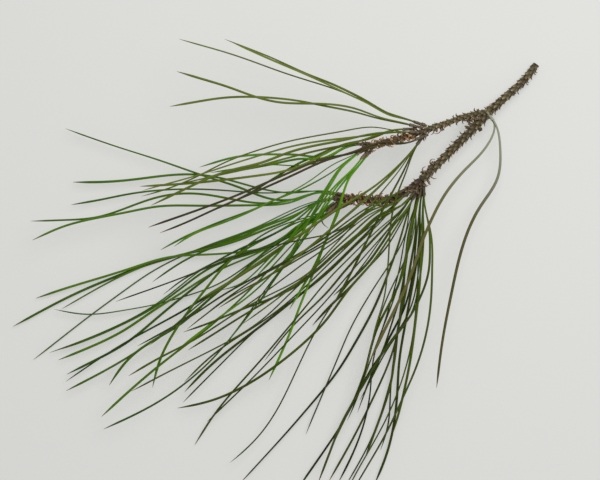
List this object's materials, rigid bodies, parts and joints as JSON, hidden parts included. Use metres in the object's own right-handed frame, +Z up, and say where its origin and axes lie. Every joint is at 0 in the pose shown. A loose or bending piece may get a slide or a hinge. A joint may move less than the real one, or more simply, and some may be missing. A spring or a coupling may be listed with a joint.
{
  "type": "pine branch",
  "caption": "Cut pine branch lying flat: a stem forking into two twigs with spreading tufts of long needles in bundles.",
  "frame": {"origin": "on the surface it lies on, in the middle of its footprint", "axes": "+X from the needle tips towards the cut end of the stem, along the longest extent; +Y across the branch, away from the drooping lower tuft; +Z up from the surface"},
  "size_m": [0.2898, 0.248, 0.0498],
  "materials": {
    "bark": "matt",
    "bark_shoot": "matt",
    "needles_lower_end": "satin",
    "needles_upper_end": "satin",
    "needles_lower_whorl": "satin",
    "needles_upper_whorl": "satin",
    "needles_loose": "satin"
  },
  "bodies": {
    "root": {"main_stem": "bark", "upper_twig": "bark", "upper_shoot": "bark_shoot", "lower_twig": "bark", "lower_shoot": "bark_shoot", "lower_end_fascicle_1": "needles_lower_end", "lower_end_fascicle_2": "needles_lower_end", "lower_end_fascicle_3": "needles_lower_end", "lower_end_fascicle_4": "needles_lower_end", "lower_end_fascicle_5": "needles_lower_end", "lower_end_fascicle_6": "needles_lower_end", "lower_end_fascicle_7": "needles_lower_end", "lower_end_fascicle_8": "needles_lower_end", "lower_end_fascicle_9": "needles_lower_end", "upper_end_fascicle_1": "needles_upper_end", "upper_end_fascicle_2": "needles_upper_end", "upper_end_fascicle_3": "needles_upper_end", "upper_end_fascicle_4": "needles_upper_end", "upper_end_fascicle_5": "needles_upper_end", "upper_end_fascicle_6": "needles_upper_end", "lower_whorl_fascicle_1": "needles_lower_whorl", "lower_whorl_fascicle_2": "needles_lower_whorl", "lower_whorl_fascicle_3": "needles_lower_whorl", "lower_whorl_fascicle_4": "needles_lower_whorl", "lower_whorl_fascicle_5": "needles_lower_whorl", "lower_whorl_fascicle_6": "needles_lower_whorl", "lower_whorl_fascicle_7": "needles_lower_whorl", "lower_whorl_fascicle_8": "needles_lower_whorl", "lower_whorl_fascicle_9": "needles_lower_whorl", "lower_whorl_fascicle_10": "needles_lower_whorl", "lower_whorl_fascicle_11": "needles_lower_whorl", "lower_whorl_fascicle_12": "needles_lower_whorl", "lower_whorl_fascicle_13": "needles_lower_whorl", "upper_whorl_fascicle_1": "needles_upper_whorl", "upper_whorl_fascicle_2": "needles_upper_whorl", "upper_whorl_fascicle_3": "needles_upper_whorl", "upper_whorl_fascicle_4": "needles_upper_whorl", "upper_whorl_fascicle_5": "needles_upper_whorl", "upper_whorl_fascicle_6": "needles_upper_whorl", "upper_whorl_fascicle_7": "needles_upper_whorl", "loose_fascicle": "needles_loose"}
  },
  "joints": []
}
